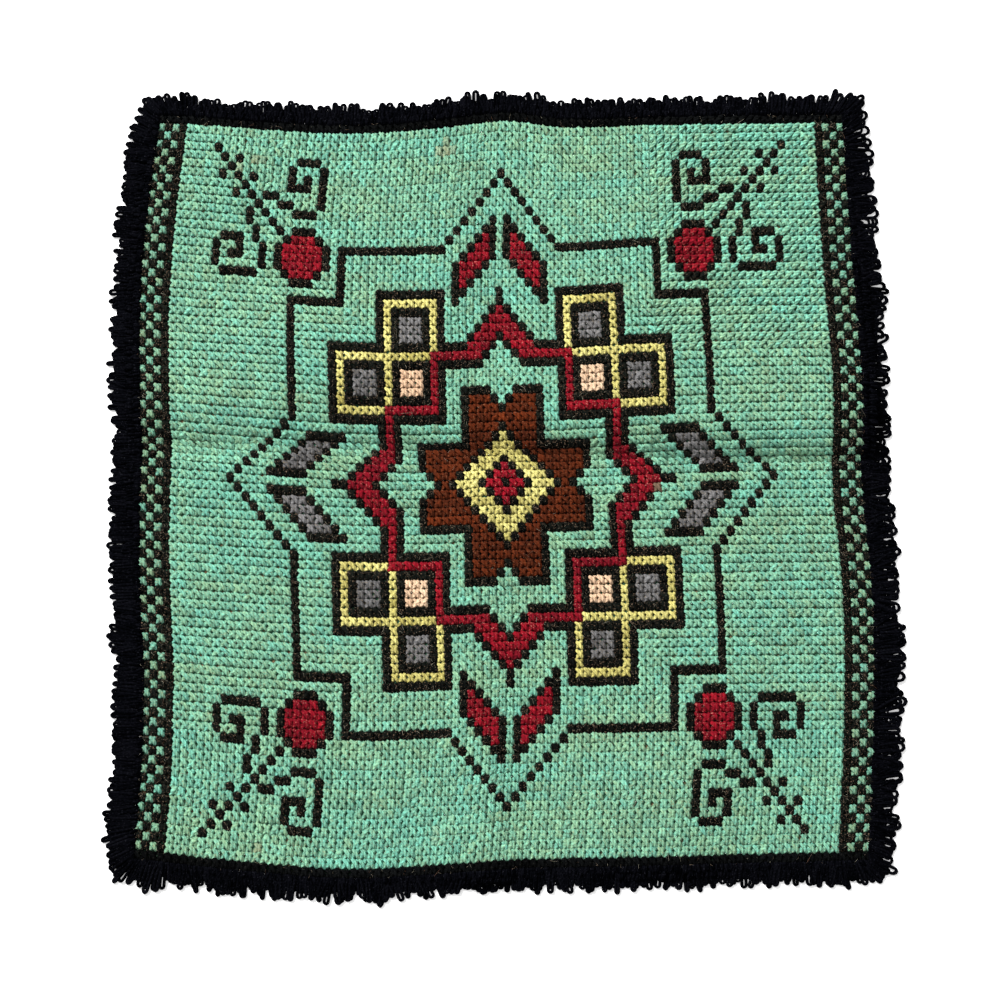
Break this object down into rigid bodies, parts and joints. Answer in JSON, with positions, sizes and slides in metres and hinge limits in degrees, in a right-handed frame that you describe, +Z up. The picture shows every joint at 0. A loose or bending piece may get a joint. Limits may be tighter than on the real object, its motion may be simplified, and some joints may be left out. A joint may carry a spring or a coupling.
{
  "type": "cross-stitch panel",
  "caption": "Square cross-stitch cloth panel with a traditional star medallion and a looped yarn fringe on four sides, lying flat.",
  "frame": {"origin": "on the table, under the middle of the whole piece with its fringe", "axes": "+Z up off the table, +Y to the panel's top edge, +X to its right edge as seen from above"},
  "size_m": [0.4308, 0.4428, 0.011],
  "materials": {
    "stitching": "matt wool crosses on canvas",
    "fringe_yarn": "matt blue-black wool loops"
  },
  "bodies": {
    "root": {"stitched_cloth": "stitching", "fringe_top": "fringe_yarn", "fringe_right": "fringe_yarn", "fringe_bottom": "fringe_yarn", "fringe_left": "fringe_yarn"}
  },
  "joints": []
}
